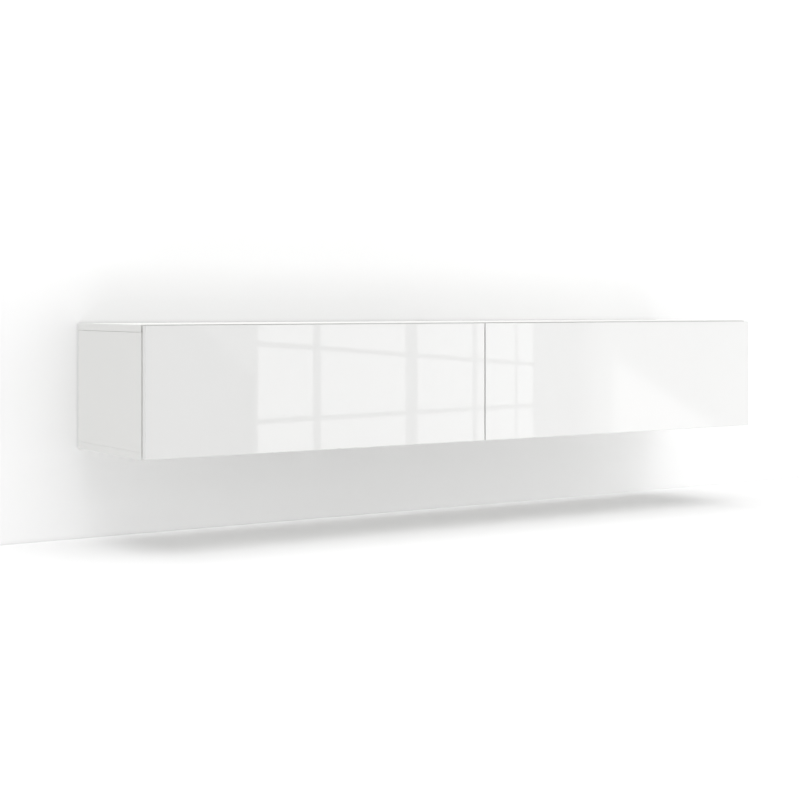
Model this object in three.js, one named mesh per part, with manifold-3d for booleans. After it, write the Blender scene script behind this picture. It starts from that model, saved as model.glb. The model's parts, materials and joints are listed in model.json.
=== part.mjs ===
// Floating media console: a board case that hangs on the wall, with two lift-up fronts on concealed hinges.
// Millimetres, +Z up. The origin is the centre of the back, in the plane of the wall; the fronts face -Y.
import * as THREE from 'three';
import { mergeVertices } from 'three/addons/utils/BufferGeometryUtils.js';
import Module from 'manifold-3d';

const wasm = await Module();
wasm.setup();

// Overall sizes and boards
const consoleLength = 1800;
const consoleDepth = 370;
const consoleHeight = 290;
const boardThickness = 16;
const frontThickness = 16;
const frontReveal = 2;
const frontGap = 3;
const shadowGap = 2;
const fit = 0.3;
const cutOverrun = 2;

// Back panels, their grooves and openings
const backThickness = 3;
const backRecess = 16;
const grooveDepth = 6;
const outletRadius = 30;
const outletFloorGap = 10;

// Knock-down fittings
const camRadius = 7.2;
const camDepth = 12.2;
const camFromEnd = 34;
const camFrontInset = 50;
const camFromBack = 62;
const camSlotWidth = 1.6;
const camSlotDepth = 1.5;
const boltRadius = 3.3;
const boltNeckRadius = 1.8;
const boltNeckLength = 3.5;
const boltHeadLength = 3.2;
const fittingBite = 11;
const dowelRadius = 4;
const dowelLength = 34;
const dowelFrontInset = 90;
const dowelFromBack = 102;

// Concealed hinge: places are measured from the front top edge of the case, inwards and downwards
const hingeEndInset = 110;
const cupRadius = 17.5;
const cupDepth = 12;
const cupWall = 1.2;
const cupEdge = 3;
const flangeThickness = 1;
const flangeLength = 60;
const flangeWidth = 16;
const flangeDrop = 9.5;
const outerPivotIn = -6;
const outerPivotDown = 28;
const innerPivotIn = -8;
const innerPivotDown = 34;
const turnCentreIn = -14;
const turnCentreDown = 9;
const linkReachShare = 0.3;
const pinRadius = 1.25;
const freePinRadius = 1.1;
const freePinClearance = 0.9;
const linkHalfWidth = 1.5;
const linkBulge = 2.8;
const linkEyeRadius = 2.6;
const freeEyeRadius = 3.1;
const innerLinkHalf = 2.5;
const linkStep = 0.6;
const outerLinkThickness = 1.2;
const outerLinkWebThickness = 1.1;
const armWall = 1.2;
const armEnd = 60;
const armTop = 19;
const armBottom = 27.2;
const armWebStart = 12;
const armShoulderIn = 4.4;
const armInnerShares = [[2.8, 0.5], [1, -0.8], [0, -1], [-0.8, -0.6], [-1, 0]];
const armOuterShares = [[-1, 0.6], [-0.6, 1.2], [1, 2.5]];
const plateThickness = 2;
const plateHalfWidth = 10;
const plateFront = 14;
const plateRear = 58;
const plateScrewInset = 37;
const plateHoleRadius = 2.6;
const wingHalfLength = 24;
const wingHalfWidth = 6;

// Spring lift: a lever on the side panel, and a link from its end to a bracket on the front
const liftPivotReach = 80;
const bracketPinIn = 10;
const bracketPinDown = 110;
const liftHousingFront = 4;
const liftHousingRear = 112;
const liftHousingTop = 62;
const liftHousingBottom = 130;
const liftHousingThickness = 15.7;
const liftHousingCorner = 10;
const liftCoverStep = 1.5;
const liftCoverInset = 6;
const liftPinRadius = 4;
const liftAdjusterRadius = 4;
const liftAdjusterDepth = 8;
const liftAdjusterRise = 18;
const leverThickness = 3;
const leverRootRadius = 10;
const leverTipRadius = 7;
const leverSlotHalf = 2.5;
const leverSlotShares = [0.25, 0.75];
const liftStep = 0.6;
const liftLinkThickness = 2.6;
const liftLinkEyeRadius = 6;
const leverPinRadius = 3;
const bracketPinRadius = 2.5;
const bracketPinClearance = 0.8;
const bracketThickness = 2;
const bracketEar = 2.6;
const bracketEarRadius = 6;
const bracketWidth = 22;
const bracketHeight = 34;
const bracketHoleRadius = 2.5;
const bracketHoleInset = 7;

// Clear part of each bay's floor, where a device stands, as a face of its own
const deviceZoneMargin = 10;
const deviceZoneDepth = 2;

// Push latch
const latchLength = 77;
const latchFront = 1;
const latchHalfWidth = 8;
const latchHeight = 14.5;
const latchPlungerRadius = 4;
const latchPlungerStem = 3.3;
const latchTipLength = 4;
const latchPlungerLength = 70;
const latchAxisRise = 7.5;
const latchEarHalf = 18;
const latchEarThickness = 2.4;
const latchEarWidth = 14;
const latchEarInsets = [6, 57];
const strikeHalfWidth = 10;
const strikeHeight = 24;
const strikeThickness = 1;

// Cabinet hangers
const hangerThickness = 18;
const hangerLength = 64;
const hangerHeight = 40;
const hangerTopGap = 2;
const hangerCorner = 5;
const hangerCoverStep = 4;
const hangerCoverInset = 2;
const adjusterRadius = 4;
const adjusterDepth = 6;
const adjusterInset = 11;
const hangerBackGap = 0.6;
const hookOffset = 8;
const hookThickness = 4;
const hookHeight = 10;
const hookDrop = 14;
const hookRoot = 32;
const hookTooth = 3.6;
const toothDrop = 12;
const hookWallGap = 3.2;
const hangerNotchWidth = 24;
const hangerNotchHeight = 46;
const railThickness = 2;
const railHeight = 36;
const railLipGap = 1.7;
const railEndGap = 1;
const railHoleRadius = 3.5;
const railHoleMargin = 62;
const railHolePitch = 150;
const railHoleDrop = 8;

// Facets
const hiddenSides = 6;
const smallSides = 8;
const eyeSides = 10;
const coarseSides = 12;
const fineSides = 14;
const roundSides = 22;
const outletSides = 24;
const bendSteps = 3;
const arcSteps = 3;
const cornerSteps = 4;

// Derived places
const caseDepth = consoleDepth - frontThickness - shadowGap;
const halfLength = consoleLength / 2;
const sideInner = halfLength - boardThickness;
const partitionHalf = boardThickness / 2;
const flapInner = frontGap / 2;
const flapOuter = halfLength - frontReveal;
const flapBack = -shadowGap;
const flapFace = -shadowGap - frontThickness;
const backFront = caseDepth - backRecess - backThickness;
const backRear = caseDepth - backRecess;
const floorDown = consoleHeight - boardThickness;
const hingeCupDown = frontReveal + cupEdge + cupRadius;
const bayCentre = (partitionHalf + sideInner) / 2;
const hingeInsets = [flapOuter - hingeEndInset, flapInner + hingeEndInset];

// Pivots of the hinge: the front turns by a right angle about the turn centre, and each link's far pivot lies on
// a line at half a right angle to the line from the turn centre to its near pivot
const turnCentre = new THREE.Vector2(turnCentreIn, -turnCentreDown);
const outerPivot = new THREE.Vector2(outerPivotIn, -outerPivotDown);
const innerPivot = new THREE.Vector2(innerPivotIn, -innerPivotDown);
const origin2 = new THREE.Vector2();

function farPivot(nearPivot) {
  const arm = nearPivot.clone().sub(turnCentre);
  arm.rotateAround(origin2, Math.PI / 4);
  return arm.multiplyScalar(linkReachShare).add(turnCentre);
}

function turned(point) {
  return point.clone().rotateAround(turnCentre, -Math.PI / 2);
}

const outerFar = farPivot(outerPivot);
const innerFar = farPivot(innerPivot);
const outerFarOpen = turned(outerFar);
const bracketPin = new THREE.Vector2(bracketPinIn, -bracketPinDown);
const leverReach = bracketPin.clone().sub(outerFar);
const pivotChord = outerFarOpen.clone().sub(outerFar);
const liftPivot = outerFar.clone().add(outerFarOpen).divideScalar(2);
liftPivot.add(new THREE.Vector2(-pivotChord.y, pivotChord.x).setLength(liftPivotReach));
const leverTip = liftPivot.clone().add(leverReach);

// Solids
function solidFrom(geometry) {
  const plain = geometry.clone();
  plain.deleteAttribute('normal');
  plain.deleteAttribute('uv');
  const merged = mergeVertices(plain);
  const mesh = new wasm.Mesh({
    numProp: 3,
    vertProperties: Float32Array.from(merged.attributes.position.array),
    triVerts: Uint32Array.from(merged.index.array),
  });
  return new wasm.Manifold(mesh);
}

function geometryFrom(solid) {
  const mesh = solid.getMesh();
  const geometry = new THREE.BufferGeometry();
  geometry.setAttribute('position', new THREE.BufferAttribute(mesh.vertProperties, 3));
  geometry.setIndex(new THREE.BufferAttribute(mesh.triVerts, 1));
  const flat = geometry.toNonIndexed();
  flat.computeVertexNormals();
  return flat;
}

function block(low, high) {
  const box = new THREE.BoxGeometry(high[0] - low[0], high[1] - low[1], high[2] - low[2]);
  box.translate((low[0] + high[0]) / 2, (low[1] + high[1]) / 2, (low[2] + high[2]) / 2);
  return solidFrom(box);
}

// A cylinder along one axis, from one place on that axis to another
function rod(axis, radius, centre, from, to, sides) {
  const geometry = new THREE.CylinderGeometry(radius, radius, to - from, sides);
  geometry.translate(0, (from + to) / 2, 0);
  if (axis === 'x') {
    geometry.rotateZ(-Math.PI / 2);
    geometry.translate(0, centre[0], centre[1]);
  } else if (axis === 'y') {
    geometry.translate(centre[0], 0, centre[1]);
  } else {
    geometry.rotateX(Math.PI / 2);
    geometry.translate(centre[0], centre[1], 0);
  }
  return solidFrom(geometry);
}

const acrossBasis = new THREE.Matrix4().makeBasis(
  new THREE.Vector3(0, 1, 0), new THREE.Vector3(0, 0, 1), new THREE.Vector3(1, 0, 0));

// An outline in the cross-section, drawn inwards and upwards, that runs from one x to another
function across(shape, from, to) {
  const settings = { depth: to - from, bevelEnabled: false, curveSegments: arcSteps };
  const geometry = new THREE.ExtrudeGeometry(shape, settings);
  geometry.applyMatrix4(acrossBasis);
  geometry.translate(from, 0, 0);
  return solidFrom(geometry);
}

// A bar with two round ends of their own radii
function barShape(start, end, startRadius, endRadius) {
  const run = end.clone().sub(start);
  const heading = run.angle();
  const spread = Math.acos((startRadius - endRadius) / run.length());
  const shape = new THREE.Shape();
  shape.absarc(start.x, start.y, startRadius, heading + spread, heading - spread + 2 * Math.PI, false);
  shape.absarc(end.x, end.y, endRadius, heading - spread, heading + spread, false);
  return shape;
}

// A link that bows out of the straight line between its pivots
function bowedShape(start, end, bulge, halfWidth) {
  const run = end.clone().sub(start);
  const side = new THREE.Vector2(-run.y, run.x).normalize();
  const offsets = [1, -1].map((hand) => {
    const points = [];
    for (let step = 0; step <= bendSteps; step += 1) {
      const share = step / bendSteps;
      const bow = 4 * bulge * share * (1 - share) + hand * halfWidth;
      points.push(start.clone().addScaledVector(run, share).addScaledVector(side, bow));
    }
    return points;
  });
  return new THREE.Shape([...offsets[0], ...offsets[1].reverse()]);
}

// An upright rectangle with round corners, taken clockwise from its top rear one
function roundedShape(front, rear, top, bottom, corner) {
  const middles = [
    [rear - corner, -top - corner],
    [rear - corner, -bottom + corner],
    [front + corner, -bottom + corner],
    [front + corner, -top - corner],
  ];
  return new THREE.Shape(middles.flatMap(([inward, up], quarter) => {
    const points = [];
    for (let step = 0; step <= cornerSteps; step += 1) {
      const angle = (1 - quarter - step / cornerSteps) * Math.PI / 2;
      points.push(new THREE.Vector2(inward + corner * Math.cos(angle), up + corner * Math.sin(angle)));
    }
    return points;
  }));
}

// Materials
function finish(colour, roughness, metalness) {
  return new THREE.MeshStandardMaterial({ color: colour, roughness, metalness });
}

const mattWhite = finish(0xf2f2f1, 0.6, 0);
const glossWhite = finish(0xf7f7f6, 0.08, 0);
const whiteHardboard = finish(0xe9e8e4, 0.7, 0);
const zinc = finish(0xb9bbbd, 0.4, 1);
const nickel = finish(0xc6c7c8, 0.25, 1);
const greyPlastic = finish(0xb4b7b8, 0.5, 0);
const whitePlastic = finish(0xe8e8e6, 0.45, 0);
const darkPlastic = finish(0x4a4c4e, 0.5, 0);

// The console's own frame: x along the length, y inwards from the case's front edge, z up from its top
const consoleGroup = new THREE.Group();
const sectionGroup = new THREE.Group();
sectionGroup.position.set(0, -caseDepth, consoleHeight / 2);
consoleGroup.add(sectionGroup);

function place(name, solid, material, x = 0) {
  const mesh = new THREE.Mesh(geometryFrom(solid), material);
  mesh.name = name;
  mesh.position.x = x;
  sectionGroup.add(mesh);
}

// Places that the boards share with their fittings
const uprights = [
  { name: 'left_side_panel', x: -halfLength + partitionHalf, inward: 1 },
  { name: 'centre_partition', x: 0, inward: 1 },
  { name: 'right_side_panel', x: halfLength - partitionHalf, inward: -1 },
];
const ends = [1, -1];
const camInsets = [camFrontInset, caseDepth - camFromBack];
const dowelInsets = [dowelFrontInset, caseDepth - dowelFromBack];
const middleDown = consoleHeight / 2;

// Height of a place that lies the given distance in from the case's top (end 1) or bottom (end -1)
function fromEnd(end, distance) {
  return -middleDown + end * (middleDown - distance);
}

function ordered(a, b) {
  return a < b ? [a, b] : [b, a];
}

function boltHole(upright, end, inset) {
  const [low, high] = ordered(
    fromEnd(end, boardThickness - cutOverrun), fromEnd(end, boardThickness + camFromEnd + fit));
  return rod('z', boltRadius + fit, [upright.x, inset], low, high, hiddenSides);
}

function dowelHole(upright, end, inset) {
  const [low, high] = ordered(
    fromEnd(end, boardThickness - cutOverrun),
    fromEnd(end, boardThickness - fittingBite + dowelLength + fit));
  return rod('z', dowelRadius + fit, [upright.x, inset], low, high, hiddenSides);
}

function camHole(upright, end, inset) {
  const face = upright.x + upright.inward * partitionHalf;
  const [low, high] = ordered(
    face + upright.inward * cutOverrun, face - upright.inward * (camDepth + fit));
  return rod('x', camRadius + fit, [inset, fromEnd(end, boardThickness + camFromEnd)], low, high, eyeSides);
}

function fittingHoles(upright, end) {
  return [
    ...camInsets.map((inset) => boltHole(upright, end, inset)),
    ...dowelInsets.map((inset) => dowelHole(upright, end, inset)),
  ];
}

// Room that a back panel needs in the boards round it
function backRoom(hand, slack) {
  const [low, high] = ordered(
    hand * (partitionHalf - grooveDepth + fit - slack), hand * (sideInner + grooveDepth - fit + slack));
  return block(
    [low, backFront - slack, -floorDown - grooveDepth + fit - slack],
    [high, backRear + slack, -boardThickness + grooveDepth - fit + slack]);
}

function cutAll(solid, cutters) {
  return cutters.reduce((left, cutter) => left.subtract(cutter), solid);
}

function joinAll(solid, others) {
  return others.reduce((sum, other) => sum.add(other), solid);
}

// The clear part of a bay's floor, behind the latch and between the uprights
function deviceZone(hand) {
  const [low, high] = ordered(
    hand * (partitionHalf + deviceZoneMargin), hand * (sideInner - deviceZoneMargin));
  return block(
    [low, latchFront + latchLength + deviceZoneMargin, -floorDown - deviceZoneDepth],
    [high, backFront - deviceZoneMargin, -floorDown]);
}

// A long board with the cam bolts and dowels that stand in it
function endPanel(end) {
  const [low, high] = ordered(fromEnd(end, 0), fromEnd(end, boardThickness));
  const board = block([-halfLength, 0, low], [halfLength, caseDepth, high]);
  const grooved = cutAll(board, [backRoom(1, fit), backRoom(-1, fit)]);
  const studs = uprights.flatMap((upright) => [
    ...camInsets.map((inset) => camBolt(upright, end, inset)),
    ...dowelInsets.map((inset) => woodDowel(upright, end, inset)),
  ]);
  return joinAll(grooved, studs);
}

// An upright board with its cam locks, each fast on the floor of its bore
function uprightPanel(upright) {
  const board = block(
    [upright.x - partitionHalf, 0, -floorDown], [upright.x + partitionHalf, caseDepth, -boardThickness]);
  const bores = ends.flatMap((end) => camInsets.map((inset) => camHole(upright, end, inset)));
  const locks = ends.flatMap((end) => camInsets.map((inset) => camLock(upright, end, inset)));
  const bored = cutAll(board, [...bores, backRoom(1, fit), backRoom(-1, fit)]);
  const holes = ends.flatMap((end) => fittingHoles(upright, end));
  return cutAll(joinAll(bored, locks), holes);
}

function backPanel(hand) {
  const outlet = rod('y', outletRadius, [hand * bayCentre, -floorDown + outletFloorGap + outletRadius],
    backFront - cutOverrun, backRear + cutOverrun, outletSides);
  const notches = [partitionHalf, sideInner].map((face) => {
    const inward = face === partitionHalf ? 1 : -1;
    const [low, high] = ordered(
      hand * (face - inward * grooveDepth), hand * (face + inward * hangerNotchWidth));
    return block(
      [low, backFront - cutOverrun, -boardThickness - hangerNotchHeight],
      [high, backRear + cutOverrun, -boardThickness + grooveDepth]);
  });
  return cutAll(backRoom(hand, 0), [outlet, ...notches]);
}

// Cam lock: a drum with a crossed slot in its face
function camLock(upright, end, inset) {
  const face = upright.x + upright.inward * partitionHalf;
  const height = fromEnd(end, boardThickness + camFromEnd);
  const [low, high] = ordered(face, face - upright.inward * (camDepth + 2 * fit));
  const drum = rod('x', camRadius, [inset, height], low, high, eyeSides);
  const slots = [[camSlotWidth / 2, camRadius / 2], [camRadius / 2, camSlotWidth / 2]].map(([run, rise]) => {
    const [from, to] = ordered(
      face + upright.inward * cutOverrun, face - upright.inward * camSlotDepth);
    return block([from, inset - run, height - rise], [to, inset + run, height + rise]);
  });
  return cutAll(drum, slots);
}

// Cam bolt: a threaded end in the long board, a shank, a neck and a head in the cam
function camBolt(upright, end, inset) {
  const profile = [
    [0, fittingBite],
    [boltRadius, fittingBite],
    [boltRadius, -camFromEnd + boltHeadLength + boltNeckLength],
    [boltNeckRadius, -camFromEnd + boltHeadLength + boltNeckLength],
    [boltNeckRadius, -camFromEnd + boltHeadLength],
    [boltRadius, -camFromEnd + boltHeadLength],
    [boltRadius, -camFromEnd],
    [0, -camFromEnd],
  ].map(([radius, height]) => new THREE.Vector2(radius, height)).reverse();
  const geometry = new THREE.LatheGeometry(profile, hiddenSides);
  geometry.rotateX(end * Math.PI / 2);
  geometry.translate(upright.x, inset, fromEnd(end, boardThickness));
  return solidFrom(geometry);
}

function woodDowel(upright, end, inset) {
  const half = dowelLength / 2;
  const middle = fromEnd(end, boardThickness - fittingBite + half);
  return rod('z', dowelRadius, [upright.x, inset], middle - half, middle + half, hiddenSides);
}

function flapPanel(hand) {
  const [low, high] = ordered(hand * flapInner, hand * flapOuter);
  const board = block([low, flapFace, -consoleHeight + frontReveal], [high, flapBack, -frontReveal]);
  const bores = hingeInsets.map((inset) => rod('y', cupRadius, [hand * inset, -hingeCupDown],
    flapBack - cupDepth, flapBack + cutOverrun, roundSides));
  return cutAll(board, bores);
}

// Concealed hinge pieces, each made about its own middle
const cupInner = cupRadius - fit - cupWall;
const cupFloor = flapBack - cupDepth + fit + cupWall;
const webInner = innerLinkHalf + fit;
const webOuter = webInner + linkStep;
const outerLinkInner = webOuter + fit;
const outerLinkOuter = outerLinkInner + outerLinkThickness;
const armInner = outerLinkOuter + fit;
const armOuter = armInner + armWall;

function bothSides(make) {
  return make(1).add(make(-1));
}

function sideways(shape, hand, inner, outer) {
  const [low, high] = ordered(hand * inner, hand * outer);
  return across(shape, low, high);
}

function hingeCup() {
  const wallTop = flapBack + flangeThickness;
  const middle = [0, -hingeCupDown];
  const flangeMiddle = -hingeCupDown - flangeDrop;
  const straight = (flangeLength - flangeWidth) / 2;
  let shell = rod('y', cupRadius - fit, middle, flapBack - cupDepth + fit, flapBack + fit, roundSides);
  shell = shell.add(block(
    [-straight, flapBack, flangeMiddle - flangeWidth / 2], [straight, wallTop, flangeMiddle + flangeWidth / 2]));
  shell = shell.add(bothSides((hand) => rod('y', flangeWidth / 2, [hand * straight, flangeMiddle],
    flapBack, wallTop, coarseSides)));
  shell = shell.subtract(rod('y', cupInner, middle, cupFloor, wallTop + cutOverrun, roundSides));
  const chord = Math.sqrt(cupInner ** 2 - (outerFar.y + hingeCupDown) ** 2);
  const stub = (hand) => {
    const [low, high] = ordered(hand * webInner, hand * (chord + cupWall / 2));
    return rod('x', pinRadius, [outerFar.x, outerFar.y], low, high, smallSides);
  };
  const web = (hand) => sideways(barShape(outerFar, innerFar, pinRadius, freePinRadius), hand, webInner, webOuter);
  const freePin = rod('x', freePinRadius, [innerFar.x, innerFar.y], -webOuter, webOuter, smallSides);
  return shell.add(bothSides(stub)).add(bothSides(web)).add(freePin);
}

function eyeHole(centre, radius, reach, sides) {
  return rod('x', radius, [centre.x, centre.y], -reach, reach, sides);
}

function outerLink() {
  const cheek = (hand) => {
    const [low, high] = ordered(hand * outerLinkInner, hand * outerLinkOuter);
    const bow = across(bowedShape(outerPivot, outerFar, linkBulge, linkHalfWidth), low, high);
    const eyes = [outerPivot, outerFar].map(
      (centre) => rod('x', linkEyeRadius, [centre.x, centre.y], low, high, eyeSides));
    return bow.add(eyes[0]).add(eyes[1]);
  };
  const web = block(
    [-outerLinkOuter, outerPivot.x + linkHalfWidth, outerPivot.y - linkHalfWidth],
    [outerLinkOuter, outerPivot.x + linkHalfWidth + outerLinkWebThickness, outerPivot.y + linkHalfWidth]);
  const holes = [outerPivot, outerFar].map((centre) => eyeHole(centre, pinRadius + fit, armOuter, eyeSides));
  return cutAll(bothSides(cheek).add(web), holes);
}

function innerLink() {
  const bow = across(bowedShape(innerPivot, innerFar, linkBulge, linkHalfWidth), -innerLinkHalf, innerLinkHalf);
  const nearEye = rod('x', linkEyeRadius, [innerPivot.x, innerPivot.y], -innerLinkHalf, innerLinkHalf, eyeSides);
  const farEye = rod('x', freeEyeRadius, [innerFar.x, innerFar.y], -innerLinkHalf, innerLinkHalf, coarseSides);
  return cutAll(bow.add(nearEye).add(farEye), [
    eyeHole(innerPivot, pinRadius + fit, armOuter, eyeSides),
    eyeHole(innerFar, freePinRadius + freePinClearance, armOuter, coarseSides),
  ]);
}

// Arm: two cheeks that reach into the cup, a web under the plate's rib, and the two near pins
function hingeArm() {
  const about = (pivot, shares) => shares.map(([inward, up]) => (
    new THREE.Vector2(pivot.x + inward * linkEyeRadius, pivot.y + up * linkEyeRadius)));
  const shape = new THREE.Shape([
    new THREE.Vector2(armEnd, -armTop),
    new THREE.Vector2(armEnd, -armBottom),
    new THREE.Vector2(armWebStart, -armBottom),
    ...about(innerPivot, armInnerShares),
    ...about(outerPivot, armOuterShares),
    new THREE.Vector2(armShoulderIn, -armTop),
  ]);
  const cheeks = bothSides((hand) => sideways(shape, hand, armInner, armOuter));
  const web = block([-armOuter, armWebStart, -armBottom], [armOuter, armEnd, -armBottom + armWall]);
  const pins = [outerPivot, innerPivot].map(
    (centre) => rod('x', pinRadius, [centre.x, centre.y], -armOuter, armOuter, smallSides));
  return cheeks.add(web).add(pins[0]).add(pins[1]);
}

function hingePlate() {
  const top = -boardThickness - fit;
  const base = block([-plateHalfWidth, plateFront, top - plateThickness], [plateHalfWidth, plateRear, top]);
  const wings = block(
    [-wingHalfLength, plateScrewInset - wingHalfWidth, top - plateThickness],
    [wingHalfLength, plateScrewInset + wingHalfWidth, top]);
  const rib = block(
    [-armInner + fit, plateFront, -armBottom + armWall + fit],
    [armInner - fit, plateRear, top - plateThickness / 2]);
  const holes = bothSides((hand) => rod('z', plateHoleRadius,
    [hand * (wingHalfLength - wingHalfWidth), plateScrewInset],
    top - plateThickness - cutOverrun, top + cutOverrun, smallSides));
  return base.add(wings).add(rib).subtract(holes);
}

// Spring lift pieces, drawn for the right-hand side and mirrored for the left
const leverOuter = sideInner - fit - liftHousingThickness - liftStep;
const leverInner = leverOuter - leverThickness;
const liftLinkOuter = leverInner - liftStep;
const liftLinkInner = liftLinkOuter - liftLinkThickness;
const earOuter = liftLinkInner - liftStep;
const earInner = earOuter - bracketEar;

function liftHousing(hand) {
  const inner = sideInner - fit - liftHousingThickness;
  const body = sideways(roundedShape(liftHousingFront, liftHousingRear, liftHousingTop, liftHousingBottom,
    liftHousingCorner), hand, inner + liftCoverStep, sideInner - fit);
  const cover = sideways(roundedShape(liftHousingFront + liftCoverInset, liftHousingRear - liftCoverInset,
    liftHousingTop + liftCoverInset, liftHousingBottom - liftCoverInset, liftHousingCorner - liftCoverInset / 2),
  hand, inner, inner + 2 * liftCoverStep);
  const [low, high] = ordered(hand * (leverInner - fit), hand * (inner + liftCoverStep));
  const pin = rod('x', liftPinRadius, [liftPivot.x, liftPivot.y], low, high, fineSides);
  const middle = hand * (inner + liftCoverStep + sideInner - fit) / 2;
  const adjuster = rod('y', liftAdjusterRadius, [middle, -liftHousingBottom + liftAdjusterRise],
    liftHousingFront - cutOverrun, liftHousingFront + liftAdjusterDepth, smallSides);
  return body.add(cover).add(pin).subtract(adjuster);
}

function liftLever(hand) {
  const blade = sideways(barShape(liftPivot, leverTip, leverRootRadius, leverTipRadius),
    hand, leverInner, leverOuter);
  const [low, high] = ordered(hand * (liftLinkInner - fit), hand * leverOuter);
  const pin = rod('x', leverPinRadius, [leverTip.x, leverTip.y], low, high, fineSides);
  const slotEnds = leverSlotShares.map((share) => liftPivot.clone().lerp(leverTip, share));
  const slot = sideways(barShape(slotEnds[0], slotEnds[1], leverSlotHalf, leverSlotHalf),
    hand, leverInner - cutOverrun, leverOuter + cutOverrun);
  const hole = sideHole(liftPivot, liftPinRadius + fit, hand, leverInner, leverOuter);
  return cutAll(blade, [slot, hole]).add(pin);
}

function sideHole(centre, radius, hand, inner, outer) {
  const [low, high] = ordered(hand * (inner - cutOverrun), hand * (outer + cutOverrun));
  return rod('x', radius, [centre.x, centre.y], low, high, fineSides);
}

function liftLink(hand) {
  const blade = sideways(barShape(leverTip, bracketPin, liftLinkEyeRadius, liftLinkEyeRadius),
    hand, liftLinkInner, liftLinkOuter);
  return cutAll(blade, [
    sideHole(leverTip, leverPinRadius + fit, hand, liftLinkInner, liftLinkOuter),
    sideHole(bracketPin, bracketPinRadius + bracketPinClearance, hand, liftLinkInner, liftLinkOuter),
  ]);
}

function flapBracket(hand) {
  const [low, high] = ordered(hand * earInner, hand * (earInner + bracketWidth));
  const footHalf = bracketHeight / 2;
  const foot = block([low, flapBack, bracketPin.y - footHalf],
    [high, flapBack + bracketThickness, bracketPin.y + footHalf]);
  const earShape = new THREE.Shape();
  earShape.moveTo(flapBack, bracketPin.y - footHalf / 2);
  earShape.absarc(bracketPin.x, bracketPin.y, bracketEarRadius, -Math.PI / 2, Math.PI / 2, false);
  earShape.lineTo(flapBack, bracketPin.y + footHalf / 2);
  const ear = sideways(earShape, hand, earInner, earOuter);
  const [from, to] = ordered(hand * earInner, hand * (liftLinkOuter + fit));
  const pin = rod('x', bracketPinRadius, [bracketPin.x, bracketPin.y], from, to, fineSides);
  const holes = ends.map((end) => rod('y', bracketHoleRadius,
    [hand * (earInner + bracketWidth - bracketHoleInset), bracketPin.y + end * (footHalf - bracketHoleInset)],
    flapBack - cutOverrun, flapBack + bracketThickness + cutOverrun, smallSides));
  return cutAll(foot, holes).add(ear).add(pin);
}

// Push latch pieces, each made about the middle of its bay
const latchAxisDown = floorDown - latchAxisRise;

function latchHousing() {
  const floor = -floorDown + fit;
  const body = block([-latchHalfWidth, latchFront, floor],
    [latchHalfWidth, latchFront + latchLength, floor + latchHeight]);
  const ears = latchEarInsets.map((inset) => block(
    [-latchEarHalf, latchFront + inset, floor],
    [latchEarHalf, latchFront + inset + latchEarWidth, floor + latchEarThickness]));
  const bore = rod('y', latchPlungerRadius + fit, [0, -latchAxisDown],
    latchFront - cutOverrun, latchFront + latchPlungerLength + cutOverrun, fineSides);
  return body.add(ears[0]).add(ears[1]).subtract(bore);
}

function latchPlunger() {
  const tip = flapBack + strikeThickness + fit;
  const head = rod('y', latchPlungerRadius, [0, -latchAxisDown], tip, tip + latchTipLength, fineSides);
  const stem = rod('y', latchPlungerStem, [0, -latchAxisDown],
    tip + latchTipLength / 2, tip + latchPlungerLength - latchTipLength / 2, fineSides);
  const foot = rod('y', latchPlungerRadius, [0, -latchAxisDown],
    tip + latchPlungerLength - latchTipLength, tip + latchPlungerLength, fineSides);
  return head.add(stem).add(foot);
}

function strikePlate() {
  const half = strikeHeight / 2;
  const plate = block([-strikeHalfWidth, flapBack, -latchAxisDown - half],
    [strikeHalfWidth, flapBack + strikeThickness, -latchAxisDown + half]);
  return plate.intersect(rod('y', half, [0, -latchAxisDown], flapBack - cutOverrun, 0, fineSides));
}

// Cabinet hanger pieces, measured from the face of the upright that carries them
const hookTop = -boardThickness - hookDrop;
const hookRear = caseDepth - hookWallGap;

function hangerHousing(face, inward) {
  const top = boardThickness + hangerTopGap;
  const bottom = top + hangerHeight;
  const rear = backFront - hangerBackGap;
  const front = rear - hangerLength;
  const layer = (inset, from, to) => {
    const [low, high] = ordered(face + inward * from, face + inward * to);
    return across(roundedShape(front + inset, rear - inset, top + inset, bottom - inset, hangerCorner), low, high);
  };
  const base = layer(0, fit, hangerThickness - hangerCoverStep);
  const cover = layer(hangerCoverInset, hangerThickness - 2 * hangerCoverStep, hangerThickness);
  const [slotLow, slotHigh] = ordered(
    face + inward * (hookOffset - hookThickness / 2 - fit), face + inward * (hookOffset + hookThickness / 2 + fit));
  const slot = block([slotLow, rear - hookRoot - fit, hookTop - hookHeight - fit], [slotHigh, rear + cutOverrun,
    hookTop + fit]);
  const adjusters = [top + adjusterInset, bottom - adjusterInset].map((down) => (
    rod('y', adjusterRadius, [face + inward * hangerThickness / 2, -down],
      front - cutOverrun, front + adjusterDepth, smallSides)));
  return cutAll(base.add(cover), [slot, ...adjusters]);
}

function hangerHook(face, inward) {
  const [low, high] = ordered(
    face + inward * (hookOffset - hookThickness / 2), face + inward * (hookOffset + hookThickness / 2));
  const rear = backFront - hangerBackGap;
  const arm = block([low, rear - hookRoot, hookTop - hookHeight], [high, hookRear, hookTop]);
  const tooth = block([low, hookRear - hookTooth, hookTop - hookHeight - toothDrop], [high, hookRear, hookTop]);
  return arm.add(tooth);
}

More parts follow.
